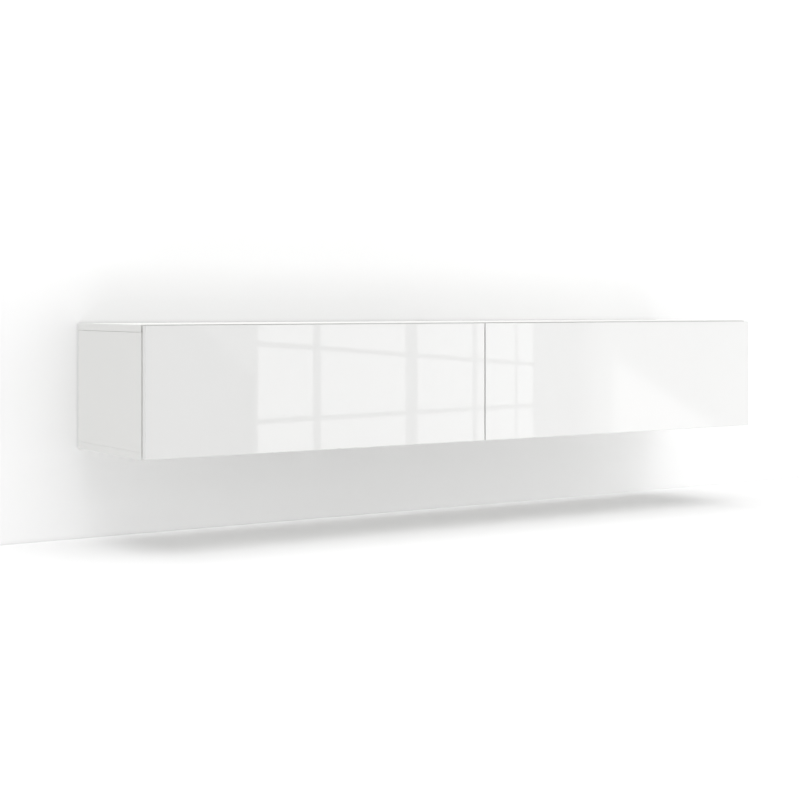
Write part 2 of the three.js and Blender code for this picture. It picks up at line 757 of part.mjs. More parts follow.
// Wall rail: a bent strip across one bay, whose lip both hooks of the bay hold
function wallRail(hand) {
  const [low, high] = ordered(hand * (partitionHalf + railEndGap), hand * (sideInner - railEndGap));
  const lipTop = hookTop - hookHeight - fit;
  const lipFront = hookRear - hookTooth - railLipGap - railThickness;
  const foot = lipTop - toothDrop - 2 * railThickness;
  const leg = block([low, caseDepth - railThickness, foot], [high, caseDepth, foot + railHeight]);
  const floor = block([low, lipFront, foot], [high, caseDepth, foot + railThickness]);
  const lip = block([low, lipFront, foot], [high, lipFront + railThickness, lipTop]);
  const holes = [];
  for (let x = low + railHoleMargin; x <= high - railHoleMargin; x += railHolePitch) {
    holes.push(rod('y', railHoleRadius, [x, foot + railHeight - railHoleDrop],
      caseDepth - railThickness - cutOverrun, caseDepth + cutOverrun, smallSides));
  }
  return cutAll(leg.add(floor).add(lip), holes);
}

// Assembly
const deviceZones = ends.map(deviceZone);
place('top_panel', endPanel(1), mattWhite);
place('bottom_panel', joinAll(cutAll(endPanel(-1), deviceZones), deviceZones), mattWhite);
uprights.forEach((upright) => place(upright.name, uprightPanel(upright), mattWhite));

const sides = [{ name: 'left', hand: -1 }, { name: 'right', hand: 1 }];
sides.forEach(({ name, hand }) => {
  place(`${name}_back_panel`, backPanel(hand), whiteHardboard);
  place(`${name}_wall_rail`, wallRail(hand), zinc);
  place(`${name}_flap_panel`, flapPanel(hand), glossWhite);
  place(`${name}_lift_housing`, liftHousing(hand), greyPlastic);
  place(`${name}_lift_lever`, liftLever(hand), nickel);
  place(`${name}_lift_link`, liftLink(hand), nickel);
  place(`${name}_flap_bracket`, flapBracket(hand), nickel);
  place(`${name}_latch_housing`, latchHousing(), whitePlastic, hand * bayCentre);
  place(`${name}_latch_plunger`, latchPlunger(), darkPlastic, hand * bayCentre);
  place(`${name}_strike_plate`, strikePlate(), nickel, hand * bayCentre);
});

const hingePlaces = [-hingeInsets[0], -hingeInsets[1], hingeInsets[1], hingeInsets[0]];
const hingePieces = {
  cup: [hingeCup(), nickel],
  outer_link: [outerLink(), nickel],
  inner_link: [innerLink(), nickel],
  arm: [hingeArm(), nickel],
  plate: [hingePlate(), nickel],
};
hingePlaces.forEach((x, index) => {
  Object.entries(hingePieces).forEach(([piece, [solid, material]]) => {
    place(`hinge_${index + 1}_${piece}`, solid, material, x);
  });
});

const hangerFaces = [
  { face: -sideInner, inward: 1 },
  { face: -partitionHalf, inward: -1 },
  { face: partitionHalf, inward: 1 },
  { face: sideInner, inward: -1 },
];
hangerFaces.forEach(({ face, inward }, index) => {
  place(`hanger_${index + 1}_housing`, hangerHousing(face, inward), whitePlastic);
  place(`hanger_${index + 1}_hook`, hangerHook(face, inward), zinc);
});

export default consoleGroup;
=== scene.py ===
"""Floating media console: finishes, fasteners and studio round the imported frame, in metres."""
import json
import math

import bpy
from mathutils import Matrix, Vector

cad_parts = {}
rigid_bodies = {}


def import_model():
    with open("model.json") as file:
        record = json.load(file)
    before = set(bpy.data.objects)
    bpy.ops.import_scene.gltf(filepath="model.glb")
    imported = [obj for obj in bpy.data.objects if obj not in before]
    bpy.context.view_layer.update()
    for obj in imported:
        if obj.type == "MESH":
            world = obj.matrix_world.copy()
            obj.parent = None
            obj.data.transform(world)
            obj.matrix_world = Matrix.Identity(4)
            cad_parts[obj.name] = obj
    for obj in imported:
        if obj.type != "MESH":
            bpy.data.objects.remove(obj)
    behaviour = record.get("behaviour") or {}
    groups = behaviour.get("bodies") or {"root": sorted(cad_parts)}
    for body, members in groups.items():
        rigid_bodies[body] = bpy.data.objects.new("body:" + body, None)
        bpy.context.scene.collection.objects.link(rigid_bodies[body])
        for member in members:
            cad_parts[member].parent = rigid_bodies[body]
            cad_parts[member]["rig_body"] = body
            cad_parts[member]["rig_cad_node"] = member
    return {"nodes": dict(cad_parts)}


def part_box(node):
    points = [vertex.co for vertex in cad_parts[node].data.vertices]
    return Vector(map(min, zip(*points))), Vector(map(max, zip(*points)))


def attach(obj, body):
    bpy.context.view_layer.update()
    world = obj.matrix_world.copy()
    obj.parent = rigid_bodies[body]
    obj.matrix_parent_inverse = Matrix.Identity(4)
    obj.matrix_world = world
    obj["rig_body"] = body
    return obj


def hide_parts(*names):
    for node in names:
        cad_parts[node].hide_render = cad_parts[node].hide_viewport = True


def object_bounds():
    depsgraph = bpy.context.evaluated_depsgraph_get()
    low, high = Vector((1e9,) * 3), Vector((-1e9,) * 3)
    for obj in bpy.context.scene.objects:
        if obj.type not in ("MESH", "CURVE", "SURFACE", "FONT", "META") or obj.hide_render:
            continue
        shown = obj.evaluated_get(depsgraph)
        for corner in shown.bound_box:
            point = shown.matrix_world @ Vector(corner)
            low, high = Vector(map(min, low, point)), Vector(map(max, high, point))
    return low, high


bl_info = {
    "name": "Floating Media Console",
    "version": (1, 0, 0),
    "blender": (4, 5, 0),
    "location": "View3D > Sidebar > Console",
    "description": "Dresses a wall-hung media console with lift-up gloss fronts",
    "category": "Object",
}

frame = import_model()
cad_low, cad_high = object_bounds()

MM = 0.001
SIDES = (("left", -1), ("right", 1))
HINGES = ("hinge_1", "hinge_2", "hinge_3", "hinge_4")
HANGERS = ("hanger_1", "hanger_2", "hanger_3", "hanger_4")
LEFT_HINGES = HINGES[:2]
WHITE = (1.0, 1.0, 1.0, 1.0)

# Points this near to each other, in metres, are one
SMALL = 1e-5

# Edges that turn by more than EDGE_ANGLE are rounded, and faces that turn by less than FLAT_ANGLE are joined
EDGE_ANGLE = math.radians(35)
FLAT_ANGLE = math.radians(1)
EDGE_SEGMENTS = 2

# Screw heads: their sides, and the two steps of their dome, as shares of the radius (in) and the height (up)
HEAD_SIDES = 20
HEAD_STEPS = ((0.3, 0.25), (0.2, 0.08))
HEAD_ANGLE = math.radians(40)

# Their crossed recess: half length and width as shares of the radius, half depth and middle of the height
RECESS_REACH = 0.55
RECESS_WIDTH = 0.26
RECESS_DEPTH = 0.8
RECESS_MIDDLE = 1.4

# The photograph's camera, fitted to the corners of the case
CAMERA_PLACE = (-2.318, -3.511, 0.186)
CAMERA_HEADING = math.radians(33.45)
CAMERA_LENS = 71.9
CAMERA_SENSOR = 36.0
CAMERA_SHIFT = (-0.0026, -0.118)

# The floor, below the console's underside
FLOOR_DROP = 0.211


def flap_body(hinge):
    return "left_flap" if hinge in LEFT_HINGES else "right_flap"


def link_body(hinge, kind):
    side = "left" if hinge in LEFT_HINGES else "right"
    return f"{side}_{kind}_links"


# Settings that a user would change

class ConsoleSizes(bpy.types.PropertyGroup):
    board_edge: bpy.props.FloatProperty(
        name="Board edge radius", description="Rounding of the edge-banded case boards",
        default=0.5 * MM, min=0.1 * MM, max=2 * MM, unit="LENGTH")
    top_joint: bpy.props.FloatProperty(
        name="Top joint", description="Open line between the top board and the uprights",
        default=0.5 * MM, min=0.0, max=1 * MM, unit="LENGTH")
    bottom_joint: bpy.props.FloatProperty(
        name="Bottom joint", description="Line between the bottom board and the uprights",
        default=0.22 * MM, min=0.0, max=1 * MM, unit="LENGTH")
    front_edge: bpy.props.FloatProperty(
        name="Front edge radius", description="Rounding of the lacquered fronts",
        default=1.0 * MM, min=0.2 * MM, max=3 * MM, unit="LENGTH")
    metal_edge: bpy.props.FloatProperty(
        name="Metal edge radius", description="Rounding that pressing leaves on the steel parts",
        default=0.25 * MM, min=0.05 * MM, max=1 * MM, unit="LENGTH")
    plastic_edge: bpy.props.FloatProperty(
        name="Plastic edge radius", description="Rounding of the moulded housings",
        default=0.8 * MM, min=0.1 * MM, max=2 * MM, unit="LENGTH")
    screw_head: bpy.props.FloatProperty(
        name="Screw head radius", description="Radius of the wood screws' heads",
        default=3.6 * MM, min=2 * MM, max=5 * MM, unit="LENGTH")
    buffer_radius: bpy.props.FloatProperty(
        name="Buffer radius", description="Radius of the clear buffers behind the fronts",
        default=4.0 * MM, min=2 * MM, max=6 * MM, unit="LENGTH")


class ConsoleColours(bpy.types.PropertyGroup):
    case: bpy.props.StringProperty(
        name="Case", description="Matt white of the case boards, as sRGB hex", default="F1F1EF")
    fronts: bpy.props.StringProperty(
        name="Fronts", description="Gloss white of the fronts, as sRGB hex", default="EEEEED")
    backs: bpy.props.StringProperty(
        name="Backs", description="Printed white of the hardboard backs, as sRGB hex", default="E9E8E4")
    backdrop: bpy.props.StringProperty(
        name="Backdrop", description="Pale studio floor and wall, as sRGB hex", default="F6F6F6")


# Materials

def linear(colour):
    """The linear values of an sRGB hex colour."""
    values = []
    for start in (0, 2, 4):
        share = int(colour[start:start + 2], 16) / 255
        values.append(share / 12.92 if share <= 0.04045 else ((share + 0.055) / 1.055) ** 2.4)
    return (*values, 1.0)


def new_material(name):
    material = bpy.data.materials.new(name)
    material.use_nodes = True
    material.node_tree.nodes.clear()
    return material


def add_node(material, kind, settings=None, values=None, links=None):
    """Adds a node with its settings, its socket values, and links from (node, output) to its inputs."""
    made = material.node_tree.nodes.new(kind)
    for key, value in (settings or {}).items():
        setattr(made, key, value)
    for key, value in (values or {}).items():
        made.inputs[key].default_value = value
    for key, (source, output) in (links or {}).items():
        material.node_tree.links.new(source.outputs[output], made.inputs[key])
    return made


def close_material(material, values, links):
    """Ends a material with one Principled shader."""
    shader = add_node(material, "ShaderNodeBsdfPrincipled", values=values, links=links)
    add_node(material, "ShaderNodeOutputMaterial", links={"Surface": (shader, "BSDF")})
    return material


def matt_melamine(colour, front, top_board):
    """Melamine-faced particle board: paper pressed against a pearl plate, which leaves a fine matt grain.

    The glued band on the front edges, at the depth given, is a shade greyer than the faces: partly its own
    tone, partly painted shade that darkens the lines between the fronts and the case. It is greyer again
    on the top board, from the height given: painted shade that draws the thin shadow line over the fronts."""
    # The real pearl is about 0.3 mm, and is drawn coarser so that it shows
    pearl_size = 1.2 * MM
    cloud_size = 350 * MM
    band_thickness = 0.3 * MM
    material = new_material("matt_melamine_board")
    place = (add_node(material, "ShaderNodeTexCoord"), "Object")
    parts = add_node(material, "ShaderNodeSeparateXYZ", links={"Vector": place})
    # Band on the front edges: partly its own greyer tone, partly painted shade; darker again on the top
    # board, painted shade for the line over the fronts
    band = add_node(material, "ShaderNodeMath", {"operation": "LESS_THAN"}, {1: front + band_thickness},
                    {0: (parts, "Y")})
    top_band_painted_shade = add_node(material, "ShaderNodeMath", {"operation": "GREATER_THAN"},
                     {1: top_board - band_thickness}, {0: (parts, "Z")})
    band_tone_and_painted_shade = add_node(material, "ShaderNodeMix", {"data_type": "RGBA"}, {
        6: linear("E9E9E7"), 7: linear("CFCFCD")}, {"Factor": (top_band_painted_shade, 0)})
    pearl = add_node(material, "ShaderNodeTexNoise", values={"Scale": 1 / pearl_size, "Detail": 3.0},
                     links={"Vector": place})
    cloud = add_node(material, "ShaderNodeTexNoise", values={"Scale": 1 / cloud_size, "Detail": 2.0},
                     links={"Vector": place})
    tone = add_node(material, "ShaderNodeMix", {"data_type": "RGBA"},
                    {6: linear(colour), 7: linear("EDEDEB")}, {"Factor": (cloud, "Fac")})
    rough = add_node(material, "ShaderNodeMapRange", values={"To Min": 0.5, "To Max": 0.66},
                     links={"Value": (pearl, "Fac")})
    bump = add_node(material, "ShaderNodeBump", values={"Strength": 0.12, "Distance": 0.05 * MM},
                    links={"Height": (pearl, "Fac")})
    # The boards' colour with the band, which carries painted shade
    banded = add_node(material, "ShaderNodeMix", {"data_type": "RGBA"}, links={
        "Factor": (band, 0), 6: (tone, 2), 7: (band_tone_and_painted_shade, 2)})
    return close_material(material, {"IOR": 1.5}, {
        "Base Color": (banded, 2), "Roughness": (rough, "Result"), "Normal": (bump, "Normal")})


def gloss_lacquer(colour):
    """High-gloss lacquered board: sprayed and buffed, so it mirrors the room with a faint slow ripple."""
    ripple_size = 14 * MM
    cloud_size = 500 * MM
    material = new_material("gloss_white_lacquer")
    place = (add_node(material, "ShaderNodeTexCoord"), "Object")
    ripple = add_node(material, "ShaderNodeTexNoise", values={"Scale": 1 / ripple_size, "Detail": 1.0},
                      links={"Vector": place})
    cloud = add_node(material, "ShaderNodeTexNoise", values={"Scale": 1 / cloud_size, "Detail": 1.0},
                     links={"Vector": place})
    tone = add_node(material, "ShaderNodeMix", {"data_type": "RGBA"},
                    {6: linear(colour), 7: linear("ECECEB")}, {"Factor": (cloud, "Fac")})
    rough = add_node(material, "ShaderNodeMapRange", values={"To Min": 0.012, "To Max": 0.02},
                     links={"Value": (cloud, "Fac")})
    bump = add_node(material, "ShaderNodeBump", values={"Strength": 0.03, "Distance": 0.01 * MM},
                    links={"Height": (ripple, "Fac")})
    return close_material(material, {"IOR": 1.5}, {
        "Base Color": (tone, 2), "Roughness": (rough, "Result"), "Normal": (bump, "Normal")})


def printed_hardboard(colour):
    """Hardboard with a white print: pressed wood fibre shows through as a fine mottle."""
    fibre_size = 2.5 * MM
    along_fibre = (0.3, 1.0, 1.0)
    material = new_material("white_printed_hardboard")
    place = (add_node(material, "ShaderNodeTexCoord"), "Object")
    stretch = add_node(material, "ShaderNodeMapping", values={"Scale": along_fibre}, links={"Vector": place})
    fibre = add_node(material, "ShaderNodeTexNoise", values={"Scale": 1 / fibre_size, "Detail": 5.0},
                     links={"Vector": (stretch, "Vector")})
    tone = add_node(material, "ShaderNodeMix", {"data_type": "RGBA"},
                    {6: linear(colour), 7: linear("DEDCD6")}, {"Factor": (fibre, "Fac")})
    bump = add_node(material, "ShaderNodeBump", values={"Strength": 0.2, "Distance": 0.1 * MM},
                    links={"Height": (fibre, "Fac")})
    return close_material(material, {"IOR": 1.5, "Roughness": 0.62}, {
        "Base Color": (tone, 2), "Normal": (bump, "Normal")})


def plated_steel(name, colour, shade, rough_low, rough_high, grain_size):
    """Pressed steel with a thin bright plating: fine drawing marks and a soft change of gloss.

    The real marks are about 0.1 mm apart, and grain_size draws them coarser so that they show."""
    bloom_size = 9 * MM
    along_marks = (1.0, 0.08, 1.0)
    material = new_material(name)
    place = (add_node(material, "ShaderNodeTexCoord"), "Object")
    stretch = add_node(material, "ShaderNodeMapping", values={"Scale": along_marks}, links={"Vector": place})
    drawn = add_node(material, "ShaderNodeTexNoise", values={"Scale": 1 / grain_size, "Detail": 3.0},
                     links={"Vector": (stretch, "Vector")})
    bloom = add_node(material, "ShaderNodeTexNoise", values={"Scale": 1 / bloom_size, "Detail": 2.0},
                     links={"Vector": place})
    tone = add_node(material, "ShaderNodeMix", {"data_type": "RGBA"},
                    {6: linear(colour), 7: linear(shade)}, {"Factor": (bloom, "Fac")})
    rough = add_node(material, "ShaderNodeMapRange", values={"To Min": rough_low, "To Max": rough_high},
                     links={"Value": (bloom, "Fac")})
    bump = add_node(material, "ShaderNodeBump", values={"Strength": 0.1, "Distance": 0.02 * MM},
                    links={"Height": (drawn, "Fac")})
    return close_material(material, {"Metallic": 1.0}, {
        "Base Color": (tone, 2), "Roughness": (rough, "Result"), "Normal": (bump, "Normal")})


def moulded_plastic(name, colour, shade, spark_size, roughness):
    """Injection-moulded plastic from a spark-eroded tool: an even fine stipple.

    The real stipple is about 0.1 mm, and spark_size draws it coarser so that it shows."""
    cloud_size = 20 * MM
    material = new_material(name)
    place = (add_node(material, "ShaderNodeTexCoord"), "Object")
    stipple = add_node(material, "ShaderNodeTexVoronoi", values={"Scale": 1 / spark_size},
                       links={"Vector": place})
    cloud = add_node(material, "ShaderNodeTexNoise", values={"Scale": 1 / cloud_size, "Detail": 2.0},
                     links={"Vector": place})
    tone = add_node(material, "ShaderNodeMix", {"data_type": "RGBA"},
                    {6: linear(colour), 7: linear(shade)}, {"Factor": (cloud, "Fac")})
    bump = add_node(material, "ShaderNodeBump", values={"Strength": 0.2, "Distance": 0.03 * MM},
                    links={"Height": (stipple, "Distance")})
    return close_material(material, {"IOR": 1.5, "Roughness": roughness}, {
        "Base Color": (tone, 2), "Normal": (bump, "Normal")})


def clear_silicone():
    """Cast silicone buffer: milky clear, slightly tacky and soft in its shine."""
    haze_size = 1.5 * MM
    material = new_material("clear_silicone")
    place = (add_node(material, "ShaderNodeTexCoord"), "Object")
    haze = add_node(material, "ShaderNodeTexNoise", values={"Scale": 1 / haze_size, "Detail": 2.0},
                    links={"Vector": place})
    tone = add_node(material, "ShaderNodeMix", {"data_type": "RGBA"},
                    {6: linear("E6EAEC"), 7: linear("D6DCDF")}, {"Factor": (haze, "Fac")})
    return close_material(material, {"IOR": 1.41, "Roughness": 0.22, "Transmission Weight": 0.35}, {
        "Base Color": (tone, 2)})


def make_finishes(colours):
    """Every finish of the console, keyed by the record's material slot."""
    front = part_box("bottom_panel")[0].y
    # Height from which the top board's band is painted darker, as painted shade over the fronts
    top_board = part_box("centre_partition")[1].z
    return {
        "case_board": matt_melamine(colours.case, front, top_board),
        "front_board": gloss_lacquer(colours.fronts),
        "back_board": printed_hardboard(colours.backs),
        "nickel_steel": plated_steel("nickel_plated_steel", "CBC8C2", "BAB7B1", 0.2, 0.32, 0.5 * MM),
        "zinc_steel": plated_steel("zinc_plated_steel", "BDBFC1", "AEB1B4", 0.34, 0.46, 0.8 * MM),
        "grey_plastic": moulded_plastic("light_grey_abs", "BFC1C2", "B7B9BB", 0.6 * MM, 0.46),
        "white_plastic": moulded_plastic("white_abs", "EDEDEB", "E6E6E3", 0.6 * MM, 0.42),
        "dark_plastic": moulded_plastic("dark_grey_nylon", "515356", "494B4E", 0.7 * MM, 0.5),
        "clear_silicone": clear_silicone(),
    }


FINISHES = {}


# Modelling helpers

def select_only(*pieces):
    """Deselects everything and selects these pieces, the first one active."""
    if bpy.context.object and bpy.context.object.mode != "OBJECT":
        bpy.ops.object.mode_set(mode="OBJECT")
    bpy.ops.object.select_all(action="DESELECT")
    for piece in pieces:
        piece.select_set(True)
    bpy.context.view_layer.objects.active = pieces[0]


def settle(piece, body, slot):
    """Puts a piece's place into its mesh, and gives it its finish and the body that it rides on."""
    select_only(piece)
    bpy.ops.object.transform_apply(location=True, rotation=True, scale=True)
    piece.data.materials.clear()
    piece.data.materials.append(FINISHES[slot])
    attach(piece, body)


def round_edges(piece, width):
    """Bevels the sharp edges of a piece, and weighs its normals so that broad faces mirror as flat ones."""
    select_only(piece)
    bevel = piece.modifiers.new("edges", "BEVEL")
    bevel.width = width
    bevel.segments = EDGE_SEGMENTS
    bevel.limit_method = "ANGLE"
    bevel.angle_limit = EDGE_ANGLE
    bpy.ops.object.modifier_apply(modifier=bevel.name)
    bpy.ops.object.shade_smooth_by_angle(angle=EDGE_ANGLE)
    weigh = piece.modifiers.new("weigh", "WEIGHTED_NORMAL")
    weigh.mode = "FACE_AREA"
    weigh.weight = 100
    weigh.keep_sharp = True
    bpy.ops.object.modifier_apply(modifier=weigh.name)


def copy_node(name, new_name):
    """A merged copy of a CAD node, to be refined and shown in its place."""
    source = frame["nodes"][name]
    piece = source.copy()
    piece.data = source.data.copy()
    piece.name = new_name
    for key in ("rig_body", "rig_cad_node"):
        if key in piece:
            del piece[key]
    piece.parent = None
    bpy.context.scene.collection.objects.link(piece)
    select_only(piece)
    bpy.ops.object.mode_set(mode="EDIT")
    bpy.ops.mesh.select_all(action="SELECT")
    bpy.ops.mesh.remove_doubles(threshold=SMALL)
    bpy.ops.mesh.dissolve_limited(angle_limit=FLAT_ANGLE)
    bpy.ops.object.mode_set(mode="OBJECT")
    return piece


def refined(name, body, slot, width, suffix):
    """Shows a finer copy of a CAD node, with the rounded edges that its making leaves."""
    piece = copy_node(name, f"{name}_{suffix}")
    round_edges(piece, width)
    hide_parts(name)
    settle(piece, body, slot)


def cross_cutter(radius, width, depth):
    """Two crossed bars that cut a driver's recess."""
    bars = []
    for turn in (0, math.pi / 2):
        bpy.ops.mesh.primitive_cube_add(size=1, location=(0, 0, 0), rotation=(0, 0, turn))
        bar = bpy.context.object
        bar.scale = (2 * radius, width, 2 * depth)
        bars.append(bar)
    select_only(*bars)
    bpy.ops.object.join()
    bpy.ops.object.transform_apply(location=True, rotation=True, scale=True)
    return bpy.context.object


def cut_with(piece, cutter):
    """Cuts one piece with another and removes the cutter."""
    select_only(piece)
    cut = piece.modifiers.new("cut", "BOOLEAN")
    cut.operation = "DIFFERENCE"
    cut.solver = "EXACT"
    cut.use_self = True
    cut.object = cutter
    bpy.ops.object.modifier_apply(modifier=cut.name)
    bpy.data.objects.remove(cutter)


def select_top_faces(piece):
    """Selects the faces of the active piece that face up, and leaves it in edit mode."""
    least_rise = 0.9
    bpy.ops.object.mode_set(mode="EDIT")
    bpy.ops.mesh.select_all(action="DESELECT")
    bpy.ops.object.mode_set(mode="OBJECT")
    for polygon in piece.data.polygons:
        polygon.select = polygon.normal.z > least_rise
    bpy.ops.object.mode_set(mode="EDIT")
    bpy.ops.mesh.select_mode(type="FACE")


def screw_master(name, radius, height):
    """A screw head that faces +Z and stands on z = 0, domed, with a crossed recess."""
    bpy.ops.object.select_all(action="DESELECT")
    bpy.ops.mesh.primitive_cylinder_add(vertices=HEAD_SIDES, radius=radius, depth=height,
                                        location=(0, 0, height / 2))
    head = bpy.context.object
    head.name = name
    bpy.ops.object.transform_apply(location=True, rotation=True, scale=True)
    select_top_faces(head)
    for inset, rise in HEAD_STEPS:
        bpy.ops.mesh.inset(thickness=radius * inset, depth=height * rise)
    bpy.ops.object.mode_set(mode="OBJECT")
    cutter = cross_cutter(radius * RECESS_REACH, radius * RECESS_WIDTH, height * RECESS_DEPTH)
    cutter.location = (0, 0, height * RECESS_MIDDLE)
    cut_with(head, cutter)
    select_only(head)
    bpy.ops.object.shade_smooth_by_angle(angle=HEAD_ANGLE)
    head.hide_render = True
    return head


# The turns that aim a small part, made to face +Z, along each axis
AIMS = {
    "+z": (0.0, 0.0, 0.0),
    "-z": (math.pi, 0.0, 0.0),
    "+y": (-math.pi / 2, 0.0, 0.0),
    "-y": (math.pi / 2, 0.0, 0.0),
    "+x": (0.0, math.pi / 2, 0.0),
    "-x": (0.0, -math.pi / 2, 0.0),
}


def set_copy(master, name, place, aim, body, slot):
    """Places a copy of a small part, with its own mesh, aimed along an axis."""
    piece = master.copy()
    piece.data = master.data.copy()
    piece.name = name
    piece.hide_render = False
    bpy.context.scene.collection.objects.link(piece)
    piece.location = place
    piece.rotation_euler = AIMS[aim]
    bpy.context.view_layer.update()
    settle(piece, body, slot)


# Operators

class CONSOLE_OT_case_boards(bpy.types.Operator):
    """Finish the case boards as melamine board, with edge bands partly painted shade, and the backs as
    printed hardboard
    """
    bl_idname = "console.case_boards"
    bl_label = "Case Boards"

    # The uprights, and the way that their cam locks face
    uprights = (("left_side_panel", "+x"), ("right_side_panel", "-x"), ("centre_partition", "+x"))
    cam_radius = 7.1 * MM
    cam_thickness = 0.2 * MM
    cam_slot_half = 3.6 * MM
    cam_slot_width = 1.6 * MM
    cam_from_end = 34 * MM
    cam_front_inset = 50 * MM
    cam_from_back = 62 * MM
    cam_sides = 28

    def execute(self, context):
        sizes = context.scene.console_sizes
        for name in ("top_panel", "bottom_panel"):
            refined(name, "case", "case_board", sizes.board_edge, "banded")
        for name, _ in self.uprights:
            self.add_upright(name, sizes)
        self.add_cam_faces()
        for side, _ in SIDES:
            node = frame["nodes"][f"{side}_back_panel"]
            node.data.materials.clear()
            node.data.materials.append(FINISHES["back_board"])
        return {"FINISHED"}

    def add_cam_faces(self):
        """The die-cast faces of the cam locks, on the drums that stand in the uprights."""
        low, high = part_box("centre_partition")
        bpy.ops.object.select_all(action="DESELECT")
        bpy.ops.mesh.primitive_cylinder_add(vertices=self.cam_sides, radius=self.cam_radius,
                                            depth=self.cam_thickness, location=(0, 0, self.cam_thickness / 2))
        master = bpy.context.object
        cut_with(master, cross_cutter(self.cam_slot_half, self.cam_slot_width, 2 * self.cam_thickness))
        levels = (("top", high.z - self.cam_from_end), ("bottom", low.z + self.cam_from_end))
        rows = (("front", low.y + self.cam_front_inset), ("rear", high.y - self.cam_from_back))
        for name, aim in self.uprights:
            board_low, board_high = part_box(name)
            face = board_high.x if aim == "+x" else board_low.x
            for level, z in levels:
                for row, y in rows:
                    place = (face, y, z)
                    set_copy(master, f"{name}_{level}_{row}_cam_face", place, aim, "case", "zinc_steel")
        bpy.data.objects.remove(master)

    def add_upright(self, name, sizes):
        """An upright that stands a hair short of the long boards, as a dry joint shows it."""
        piece = copy_node(name, f"{name}_banded")
        low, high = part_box(name)
        for vertex in piece.data.vertices:
            if vertex.co.z > high.z - SMALL:
                vertex.co.z -= sizes.top_joint
            elif vertex.co.z < low.z + SMALL:
                vertex.co.z += sizes.bottom_joint
        round_edges(piece, sizes.board_edge)
        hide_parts(name)
        settle(piece, "case", "case_board")


class CONSOLE_OT_fronts(bpy.types.Operator):
    """Finish the two lift-up fronts as lacquered board with softened edges"""
    bl_idname = "console.fronts"
    bl_label = "Fronts"

    def execute(self, context):
        sizes = context.scene.console_sizes
        for side, _ in SIDES:
            refined(f"{side}_flap_panel", f"{side}_flap", "front_board", sizes.front_edge, "lacquered")
        return {"FINISHED"}


class CONSOLE_OT_hinges(bpy.types.Operator):
    """Finish the concealed hinges and add their screws"""
    bl_idname = "console.hinges"
    bl_label = "Concealed Hinges"

    wing_from_front = 23 * MM
    wing_screw_inset = 6 * MM
    flange_screw_inset = 7.5 * MM
    flange_screw_rise = 8 * MM
    arm_screw_insets = (14 * MM, 34 * MM)
    wing_thickness = 2 * MM
    arm_thickness = 1.5 * MM
    head_height = 1.4 * MM
    flange_head_height = 0.5 * MM

    def execute(self, context):
        sizes = context.scene.console_sizes
        head = screw_master("wood_screw", sizes.screw_head, self.head_height)
        low_head = screw_master("flange_screw", sizes.screw_head, self.flange_head_height)
        for hinge in HINGES:
            for part, body in (("cup", flap_body(hinge)), ("arm", "case"), ("plate", "case"),
                               ("outer_link", link_body(hinge, "outer")),
                               ("inner_link", link_body(hinge, "inner"))):
                refined(f"{hinge}_{part}", body, "nickel_steel", sizes.metal_edge, "plated")
            self.add_plate_screws(hinge, head)
            self.add_flange_screws(hinge, low_head)
            self.add_arm_screws(hinge, head)
        bpy.data.objects.remove(head)
        bpy.data.objects.remove(low_head)
        return {"FINISHED"}

    def add_plate_screws(self, hinge, master):
        low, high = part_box(f"{hinge}_plate")
        for mark, x in (("a", low.x + self.wing_screw_inset), ("b", high.x - self.wing_screw_inset)):
            place = (x, low.y + self.wing_from_front, high.z - self.wing_thickness)
            set_copy(master, f"{hinge}_plate_screw_{mark}", place, "-z", "case", "zinc_steel")

    def add_flange_screws(self, hinge, master):
        low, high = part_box(f"{hinge}_cup")
        for mark, x in (("a", low.x + self.flange_screw_inset), ("b", high.x - self.flange_screw_inset)):
            place = (x, high.y, low.z + self.flange_screw_rise)
            set_copy(master, f"{hinge}_cup_screw_{mark}", place, "+y", flap_body(hinge), "nickel_steel")

    def add_arm_screws(self, hinge, master):
        low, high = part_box(f"{hinge}_arm")
        plate_low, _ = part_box(f"{hinge}_plate")
        bottom = plate_low.z - self.arm_thickness
        for mark, inset in zip(("a", "b"), self.arm_screw_insets):
            place = ((low.x + high.x) / 2, high.y - inset, bottom)
            set_copy(master, f"{hinge}_arm_screw_{mark}", place, "-z", "case", "zinc_steel")


